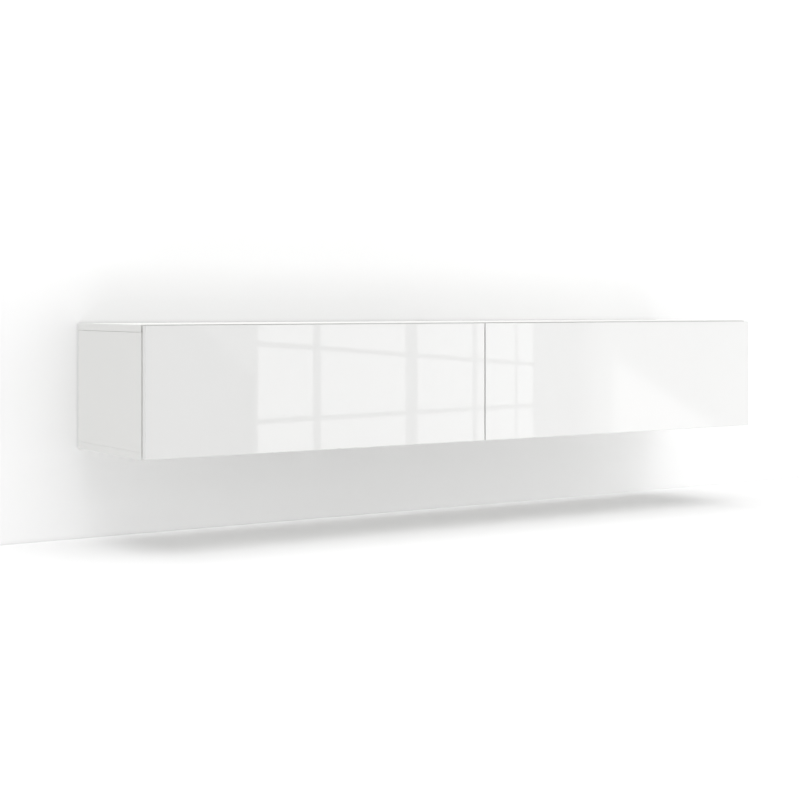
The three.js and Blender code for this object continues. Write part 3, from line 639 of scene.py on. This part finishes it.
class CONSOLE_OT_lifts(bpy.types.Operator):
    """Finish the spring lifts with their levers, links and brackets"""
    bl_idname = "console.lifts"
    bl_label = "Spring Lifts"

    # From the lift's back, which stands against the side panel, to its cover's face
    cover_depth = 15.7 * MM
    cover_screw_inset = 14 * MM
    cover_front_inset = 16 * MM
    body_half = 7.1 * MM
    adjuster_depth = 8 * MM
    adjuster_rise = 18 * MM
    bracket_screw_inset = 7 * MM
    bracket_thickness = 2 * MM
    head_height = 1.2 * MM
    small_head_share = 0.9

    def execute(self, context):
        sizes = context.scene.console_sizes
        small_radius = sizes.screw_head * self.small_head_share
        head = screw_master("cover_screw", sizes.screw_head, self.head_height)
        small_head = screw_master("tension_screw", small_radius, self.head_height)
        for side, hand in SIDES:
            refined(f"{side}_lift_housing", "case", "grey_plastic", sizes.plastic_edge, "moulded")
            refined(f"{side}_lift_lever", f"{side}_lift_lever", "nickel_steel", sizes.metal_edge, "plated")
            refined(f"{side}_lift_link", f"{side}_lift_link", "nickel_steel", sizes.metal_edge, "plated")
            refined(f"{side}_flap_bracket", f"{side}_flap", "nickel_steel", sizes.metal_edge, "plated")
            self.add_cover_screws(side, hand, head)
            self.add_adjuster(side, hand, small_head)
            self.add_bracket_screws(side, hand, head)
        bpy.data.objects.remove(head)
        bpy.data.objects.remove(small_head)
        return {"FINISHED"}

    def add_cover_screws(self, side, hand, master):
        low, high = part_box(f"{side}_lift_housing")
        face = (high.x if hand > 0 else low.x) - hand * self.cover_depth
        aim = "-x" if hand > 0 else "+x"
        front = low.y + self.cover_front_inset
        back = high.y - self.cover_screw_inset
        bottom = low.z + self.cover_screw_inset
        top = high.z - self.cover_screw_inset
        for mark, y, z in (("a", back, top), ("b", back, bottom), ("c", front, bottom)):
            set_copy(master, f"{side}_lift_cover_screw_{mark}", (face, y, z), aim, "case", "zinc_steel")

    def add_adjuster(self, side, hand, master):
        """The tension screw, at the floor of its bore in the housing's front."""
        low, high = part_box(f"{side}_lift_housing")
        middle = (high.x if hand > 0 else low.x) - hand * self.body_half
        place = (middle, low.y + self.adjuster_depth, low.z + self.adjuster_rise)
        set_copy(master, f"{side}_lift_adjuster", place, "-y", "case", "zinc_steel")

    def add_bracket_screws(self, side, hand, master):
        low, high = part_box(f"{side}_flap_bracket")
        inset = self.bracket_screw_inset
        x = (high.x if hand > 0 else low.x) - hand * inset
        for mark, z in (("a", high.z - inset), ("b", low.z + inset)):
            place = (x, low.y + self.bracket_thickness, z)
            set_copy(master, f"{side}_bracket_screw_{mark}", place, "+y", f"{side}_flap", "zinc_steel")


class CONSOLE_OT_latches(bpy.types.Operator):
    """Finish the push latches with their plungers and strike plates"""
    bl_idname = "console.latches"
    bl_label = "Push Latches"

    screw_rows = (13 * MM, 64 * MM)
    screw_inset = 5 * MM
    foot_thickness = 2.4 * MM
    head_height = 1.1 * MM
    head_share = 0.8

    def execute(self, context):
        sizes = context.scene.console_sizes
        head = screw_master("latch_screw", sizes.screw_head * self.head_share, self.head_height)
        for side, _ in SIDES:
            plunger = f"{side}_latch_plunger"
            refined(f"{side}_latch_housing", "case", "white_plastic", sizes.metal_edge, "moulded")
            refined(plunger, plunger, "dark_plastic", sizes.metal_edge, "moulded")
            refined(f"{side}_strike_plate", f"{side}_flap", "nickel_steel", sizes.metal_edge, "plated")
            low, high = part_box(f"{side}_latch_housing")
            for row, from_front in enumerate(self.screw_rows, 1):
                for mark, x in (("a", low.x + self.screw_inset), ("b", high.x - self.screw_inset)):
                    place = (x, low.y + from_front, low.z + self.foot_thickness)
                    set_copy(head, f"{side}_latch_screw_{row}{mark}", place, "+z", "case", "zinc_steel")
        bpy.data.objects.remove(head)
        return {"FINISHED"}


class CONSOLE_OT_hangers(bpy.types.Operator):
    """Finish the cabinet hangers, their hooks and the wall rails"""
    bl_idname = "console.hangers"
    bl_label = "Cabinet Hangers"

    adjuster_depth = 6 * MM
    adjuster_inset = 11 * MM
    head_height = 1.4 * MM
    head_share = 0.9

    def execute(self, context):
        sizes = context.scene.console_sizes
        head = screw_master("hanger_screw", sizes.screw_head * self.head_share, self.head_height)
        for hanger in HANGERS:
            refined(f"{hanger}_housing", "case", "white_plastic", sizes.plastic_edge, "moulded")
            refined(f"{hanger}_hook", "case", "zinc_steel", sizes.metal_edge, "plated")
            low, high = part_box(f"{hanger}_housing")
            middle = (low.x + high.x) / 2
            for mark, z in (("a", high.z - self.adjuster_inset), ("b", low.z + self.adjuster_inset)):
                place = (middle, low.y + self.adjuster_depth, z)
                set_copy(head, f"{hanger}_adjuster_{mark}", place, "-y", "case", "zinc_steel")
        for side, _ in SIDES:
            refined(f"{side}_wall_rail", "case", "zinc_steel", sizes.metal_edge, "plated")
        bpy.data.objects.remove(head)
        return {"FINISHED"}


class CONSOLE_OT_buffers(bpy.types.Operator):
    """Add the clear buffers that the fronts close against"""
    bl_idname = "console.buffers"
    bl_label = "Front Buffers"

    inset = 8 * MM
    end_inset = 60 * MM
    thickness = 1.6 * MM
    segments = 24
    rings = 12
    smooth_angle = math.radians(50)

    def execute(self, context):
        radius = context.scene.console_sizes.buffer_radius
        bpy.ops.object.select_all(action="DESELECT")
        bpy.ops.mesh.primitive_uv_sphere_add(segments=self.segments, ring_count=self.rings, radius=radius)
        dome = bpy.context.object
        bpy.ops.object.mode_set(mode="EDIT")
        bpy.ops.mesh.select_all(action="SELECT")
        bpy.ops.mesh.bisect(plane_co=(0, 0, 0), plane_no=(0, 0, 1), clear_inner=True, use_fill=True)
        bpy.ops.object.mode_set(mode="OBJECT")
        dome.scale = (1, 1, self.thickness / radius)
        select_only(dome)
        bpy.ops.object.transform_apply(location=True, rotation=True, scale=True)
        bpy.ops.object.shade_smooth_by_angle(angle=self.smooth_angle)
        low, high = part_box("bottom_panel")
        for side, hand in SIDES:
            for mark, x in (("inner", self.end_inset), ("outer", high.x - self.end_inset)):
                place = (hand * x, low.y, low.z + self.inset)
                set_copy(dome, f"{side}_{mark}_buffer", place, "-y", "case", "clear_silicone")
        bpy.data.objects.remove(dome)
        return {"FINISHED"}


class CONSOLE_OT_studio(bpy.types.Operator):
    """Set up the pale floor and wall, the lamps, the window panes, the drape and the camera"""
    bl_idname = "console.studio"
    bl_label = "Studio"

    # Floor and wall: their size, and how much whiter than their paint the camera sees them
    backdrop_size = 40
    floor_seen = 1.05
    wall_seen = 1.36

    # The wall's gap behind the console, the lean of its close shade, and the reach, least open share and
    # depth of its three shades, which are painted into the wall's colour
    wall_gap = 2.5 * MM
    halo_lean = 1.5
    shade_samples = 8
    close_shade = (0.15, 0.3, 0.15)
    broad_shade = (0.8, 0.8, 0.12)
    contact_shade = (8 * MM, 0.5, 0.17)

    # The painted shades fade out towards the right, as the window's daylight would wash them:
    # from where, to where, and what is left
    wash_start, wash_end = -0.1, 0.7
    wash_share = 0.7

    # The plain room's strength as light, and as the camera and mirrors see it
    room_light = 0.53
    room_white = 1.0

    # Lamps: place that they shine from, strength, and how wide they look in degrees
    lamps = (
        ("overhead_light", (0.1, -0.2, 3.0), 1.7, 70),
        ("window_light", (2.2, -2.2, 0.9), 0.3, 50),
    )

    # Window: its near end and run on the floor plan, how far its levels fall for each metre of run, its panes
    # by their distance along it, and its foot, head and level bars at its near end
    window_start = (0.529, -2.524)
    window_run = (0.753, -0.657)
    window_fall = 0.049
    window_columns = ((0.01, 0.654), (0.759, 2.11), (2.344, 3.61), (3.735, 4.878), (4.972, 5.539))
    window_foot, window_head = -0.9, 0.6
    window_bars = (-0.2493, 0.0435)
    window_bar_half = 0.0105
    window_bar_growth = 0.0008

    # Strengths of the glass and of the bars behind it, at the near and far ends, and where the bars stand
    glass_strengths = (3.4, 4.6)
    bar_strengths = (1.6, 3.1)
    bars_offset = (-0.0066, -0.0075)

    # Drape: its ends on the floor plan, where it brightens along x, where its lighter patch starts, and the
    # slope, one point and softness of the patch's edge
    drape_ends = ((1.398, -1.956), (2.6, -0.9))
    drape_rise = (1.506, 1.595)
    drape_patch = (1.606, 1.628)
    drape_slope = 0.888
    drape_edge = (1.617, -0.0056)
    drape_softness = 0.033
    drape_foot, drape_head = -0.9, 0.7

    # Its strength, and what its rise and its patch add to that
    drape_strength = 3.0
    drape_rise_strength = 0.9
    drape_patch_strength = 1.1

    def execute(self, context):
        colours = context.scene.console_colours
        self.add_floor(colours.backdrop, cad_low.z - FLOOR_DROP)
        self.add_wall(colours.backdrop)
        self.add_world()
        self.add_lamps()
        self.add_window()
        self.add_drape()
        self.add_camera()
        context.scene.view_settings.view_transform = "Standard"
        return {"FINISHED"}

    def backdrop_paint(self, name, colour, seen):
        """Pale backdrop paint that the camera sees a little whiter, and that can't be seen from behind."""
        material = new_material(name)
        plain = linear(colour)[0]
        # Its first input stays 1 on the floor; on the wall it takes the painted shade round the console
        white = add_node(material, "ShaderNodeMath", {"operation": "MULTIPLY"}, {0: 1.0, 1: seen * plain})
        path = add_node(material, "ShaderNodeLightPath")
        tone = add_node(material, "ShaderNodeMix", {"data_type": "FLOAT"}, {2: plain},
                        {"Factor": (path, "Is Camera Ray"), 3: (white, 0)})
        paint = add_node(material, "ShaderNodeBsdfDiffuse", links={"Color": (tone, 0)})
        clear = add_node(material, "ShaderNodeBsdfTransparent")
        side = add_node(material, "ShaderNodeNewGeometry")
        shown = add_node(material, "ShaderNodeMixShader", links={
            0: (side, "Backfacing"), 1: (paint, 0), 2: (clear, 0)})
        add_node(material, "ShaderNodeOutputMaterial", links={"Surface": (shown, 0)})
        return material, white

    def add_halo(self, material, white):
        """Darkens backdrop paint round the console with painted shade: close to it by the light that it takes
        away there, further off by a broad soft shade, and by a thin painted shade line where the two meet."""
        place = add_node(material, "ShaderNodeTexCoord")
        parts = add_node(material, "ShaderNodeSeparateXYZ", links={"Vector": (place, "Object")})
        lean = add_node(material, "ShaderNodeMapRange", values={
            "From Min": cad_low.z, "From Max": cad_high.z, "To Min": self.halo_lean,
            "To Max": -self.halo_lean}, links={"Value": (parts, "Z")})
        aim = add_node(material, "ShaderNodeCombineXYZ", values={"Y": -1.0}, links={"Z": (lean, "Result")})
        unit = add_node(material, "ShaderNodeVectorMath", {"operation": "NORMALIZE"}, links={0: (aim, 0)})
        close = self.shade_within(material, *self.close_shade, {"Normal": (unit, 0)})
        broad = self.shade_within(material, *self.broad_shade, {})
        contact = self.shade_within(material, *self.contact_shade, {})
        soft = add_node(material, "ShaderNodeMath", {"operation": "MULTIPLY"}, links={
            0: (close, "Result"), 1: (broad, "Result")})
        whole = add_node(material, "ShaderNodeMath", {"operation": "MULTIPLY"}, links={
            0: (soft, 0), 1: (contact, "Result")})
        # Painted light: the painted shade is weakened towards the right, as if by the window's daylight
        wash = add_node(material, "ShaderNodeMapRange", values={
            "From Min": self.wash_start, "From Max": self.wash_end, "To Min": 1.0, "To Max": self.wash_share},
            links={"Value": (parts, "X")})
        washed = add_node(material, "ShaderNodeMix", {"data_type": "FLOAT"}, {2: 1.0}, {
            "Factor": (wash, "Result"), 3: (whole, 0)})
        material.node_tree.links.new(washed.outputs[0], white.inputs[0])

    def shade_within(self, material, reach, least, depth, links):
        """Shade from what stands within reach, at its full depth where the open share is least."""
        near = add_node(material, "ShaderNodeAmbientOcclusion", {"samples": self.shade_samples},
                        {"Color": WHITE, "Distance": reach}, links)
        return add_node(material, "ShaderNodeMapRange", values={
            "From Min": least, "To Min": 1 - depth, "To Max": 1.0}, links={"Value": (near, "AO")})

    def backdrop(self, name, place, turn, material):
        """A broad plane that the console stands out from, left out of its reflections."""
        bpy.ops.object.select_all(action="DESELECT")
        bpy.ops.mesh.primitive_plane_add(size=self.backdrop_size, location=place, rotation=turn)
        plane = bpy.context.object
        plane.name = name
        bpy.ops.object.transform_apply(location=True, rotation=True, scale=True)
        plane.data.materials.append(material)
        plane.visible_glossy = False
        return plane

    def add_floor(self, colour, height):
        paint, _ = self.backdrop_paint("pale_floor", colour, self.floor_seen)
        self.backdrop("studio_floor", (0, 0, height), (0, 0, 0), paint)

    def add_wall(self, colour):
        """A wall that only the camera sees, so that it takes no light from the console."""
        paint, white = self.backdrop_paint("pale_wall", colour, self.wall_seen)
        self.add_halo(paint, white)
        wall = self.backdrop("studio_wall", (0, self.wall_gap, 0), (math.pi / 2, 0, 0), paint)
        wall.visible_diffuse = False
        wall.visible_transmission = False
        wall.visible_shadow = False

    def add_world(self):
        """A plain pale room: white to the camera and in reflections, and softer as light."""
        world = bpy.data.worlds.new("studio_world")
        bpy.context.scene.world = world
        world.use_nodes = True
        world.node_tree.nodes.clear()
        soft = add_node(world, "ShaderNodeBackground", values={"Color": WHITE, "Strength": self.room_light})
        white = add_node(world, "ShaderNodeBackground", values={"Color": WHITE, "Strength": self.room_white})
        path = add_node(world, "ShaderNodeLightPath")
        mirrored = add_node(world, "ShaderNodeMath", {"operation": "MAXIMUM"}, links={
            0: (path, "Is Glossy Ray"), 1: (path, "Is Transmission Ray")})
        shown = add_node(world, "ShaderNodeMath", {"operation": "MAXIMUM"}, links={
            0: (path, "Is Camera Ray"), 1: (mirrored, 0)})
        mixed = add_node(world, "ShaderNodeMixShader", links={0: (shown, 0), 1: (soft, 0), 2: (white, 0)})
        add_node(world, "ShaderNodeOutputWorld", links={"Surface": (mixed, 0)})

    def add_lamps(self):
        """A broad overhead light, and a weaker one from the window."""
        for name, place, energy, angle in self.lamps:
            lamp = bpy.data.lights.new(name, "SUN")
            lamp.energy = energy
            lamp.angle = math.radians(angle)
            holder = bpy.data.objects.new(name, lamp)
            bpy.context.scene.collection.objects.link(holder)
            holder.location = place
            holder.rotation_euler = (-holder.location).to_track_quat("-Z", "Y").to_euler()

    def upright_pane(self, name, near, far, lows, highs, material):
        """A bright pane, upright on a line of the floor plan, that only glossy surfaces mirror."""
        bpy.ops.object.select_all(action="DESELECT")
        bpy.ops.mesh.primitive_plane_add(size=1)
        pane = bpy.context.object
        pane.name = name
        corners = ((*near, lows[0]), (*far, lows[1]), (*near, highs[0]), (*far, highs[1]))
        for vertex, corner in zip(pane.data.vertices, corners):
            vertex.co = corner
        pane.data.materials.append(material)
        pane.visible_camera = False
        pane.visible_diffuse = False
        pane.visible_shadow = False

    def window_edge(self, height, distance, side):
        """Height of a pane's edge along the window: it falls with distance, and its bar grows."""
        bar = self.window_bar_half + self.window_bar_growth * distance
        return height - self.window_fall * distance + side * bar

    def add_window(self):
        """The tall window with glazing bars that the left front mirrors, brighter towards its far end."""
        start = Vector(self.window_start)
        run = Vector(self.window_run)
        glass = self.rising_light("window_light", *self.glass_strengths)
        bars = self.rising_light("window_bar_light", *self.bar_strengths)
        levels = (self.window_foot, *self.window_bars, self.window_head)
        for column, span in enumerate(self.window_columns, 1):
            near, far = (start + run * distance for distance in span)
            for row, (low, high) in enumerate(zip(levels, levels[1:]), 1):
                lows = [self.window_edge(low, distance, 1) for distance in span]
                highs = [self.window_edge(high, distance, -1) for distance in span]
                self.upright_pane(f"window_pane_{column}{row}", near, far, lows, highs, glass)
        behind = Vector(self.bars_offset)
        span = (0.0, self.window_columns[-1][1])
        near, far = (start + behind + run * distance for distance in span)
        lows = [self.window_edge(self.window_foot, distance, 1) for distance in span]
        highs = [self.window_edge(self.window_head, distance, -1) for distance in span]
        self.upright_pane("window_bars", near, far, lows, highs, bars)

    def rising_light(self, name, near_strength, far_strength):
        """Daylight that grows along the window, from its near end to its far end."""
        material = new_material(name)
        place = add_node(material, "ShaderNodeTexCoord")
        parts = add_node(material, "ShaderNodeSeparateXYZ", links={"Vector": (place, "Object")})
        near = self.window_start[0]
        far = near + self.window_run[0] * self.window_columns[-1][1]
        rise = add_node(material, "ShaderNodeMapRange", values={
            "From Min": near, "From Max": far, "To Min": near_strength, "To Max": far_strength},
            links={"Value": (parts, "X")})
        glow = add_node(material, "ShaderNodeEmission", values={"Color": WHITE},
                        links={"Strength": (rise, "Result")})
        add_node(material, "ShaderNodeOutputMaterial", links={"Surface": (glow, 0)})
        return material

    def add_drape(self):
        """The bright drape that the right front mirrors, with a lighter patch below a slanting edge."""
        material = new_material("drape_light")
        place = add_node(material, "ShaderNodeTexCoord")
        parts = add_node(material, "ShaderNodeSeparateXYZ", links={"Vector": (place, "Object")})
        rise, patch = (
            add_node(material, "ShaderNodeMapRange", {"interpolation_type": "SMOOTHSTEP"},
                     {"From Min": start, "From Max": end}, {"Value": (parts, "X")})
            for start, end in (self.drape_rise, self.drape_patch))
        edge_x, edge_z = self.drape_edge
        slope = add_node(material, "ShaderNodeMath", {"operation": "MULTIPLY_ADD"},
                         {1: self.drape_slope, 2: -self.drape_slope * edge_x - edge_z}, {0: (parts, "X")})
        above = add_node(material, "ShaderNodeMath", {"operation": "ADD"}, links={
            0: (slope, 0), 1: (parts, "Z")})
        below = add_node(material, "ShaderNodeMapRange", {"interpolation_type": "SMOOTHSTEP"}, {
            "From Min": -self.drape_softness, "From Max": self.drape_softness, "To Min": 1.0, "To Max": 0.0},
            {"Value": (above, 0)})
        inside = add_node(material, "ShaderNodeMath", {"operation": "MULTIPLY"}, links={
            0: (patch, "Result"), 1: (below, "Result")})
        lifted = add_node(material, "ShaderNodeMath", {"operation": "MULTIPLY_ADD"}, {
            1: self.drape_patch_strength, 2: self.drape_strength}, {0: (inside, 0)})
        strength = add_node(material, "ShaderNodeMath", {"operation": "MULTIPLY_ADD"}, {
            1: self.drape_rise_strength}, {0: (rise, "Result"), 2: (lifted, 0)})
        glow = add_node(material, "ShaderNodeEmission", values={"Color": WHITE},
                        links={"Strength": (strength, 0)})
        add_node(material, "ShaderNodeOutputMaterial", links={"Surface": (glow, 0)})
        lows = (self.drape_foot, self.drape_foot)
        highs = (self.drape_head, self.drape_head)
        self.upright_pane("drape", *self.drape_ends, lows, highs, material)

    def add_camera(self):
        camera = bpy.data.cameras.new("photo_camera")
        camera.lens = CAMERA_LENS
        camera.sensor_width = CAMERA_SENSOR
        camera.shift_x, camera.shift_y = CAMERA_SHIFT
        holder = bpy.data.objects.new("photo_camera", camera)
        bpy.context.scene.collection.objects.link(holder)
        holder.location = CAMERA_PLACE
        holder.rotation_euler = (math.pi / 2, 0, -CAMERA_HEADING)
        bpy.context.scene.camera = holder


class CONSOLE_PT_panel(bpy.types.Panel):
    """Lists the steps that dress the console"""
    bl_label = "Media Console"
    bl_idname = "CONSOLE_PT_panel"
    bl_space_type = "VIEW_3D"
    bl_region_type = "UI"
    bl_category = "Console"

    def draw(self, context):
        for group in (context.scene.console_sizes, context.scene.console_colours):
            for key in group.__annotations__:
                self.layout.prop(group, key)
        for step in STEPS:
            self.layout.operator(step.bl_idname)


STEPS = (
    CONSOLE_OT_case_boards,
    CONSOLE_OT_fronts,
    CONSOLE_OT_hinges,
    CONSOLE_OT_lifts,
    CONSOLE_OT_latches,
    CONSOLE_OT_hangers,
    CONSOLE_OT_buffers,
    CONSOLE_OT_studio,
)
CLASSES = (ConsoleSizes, ConsoleColours, *STEPS, CONSOLE_PT_panel)


def register():
    for item in CLASSES:
        bpy.utils.register_class(item)
    bpy.types.Scene.console_sizes = bpy.props.PointerProperty(type=ConsoleSizes)
    bpy.types.Scene.console_colours = bpy.props.PointerProperty(type=ConsoleColours)


def unregister():
    del bpy.types.Scene.console_colours
    del bpy.types.Scene.console_sizes
    for item in reversed(CLASSES):
        bpy.utils.unregister_class(item)


def main():
    register()
    FINISHES.update(make_finishes(bpy.context.scene.console_colours))
    bpy.ops.console.case_boards()
    bpy.ops.console.fronts()
    bpy.ops.console.hinges()
    bpy.ops.console.lifts()
    bpy.ops.console.latches()
    bpy.ops.console.hangers()
    bpy.ops.console.buffers()
    bpy.ops.console.studio()


if __name__ == "__main__":
    main()
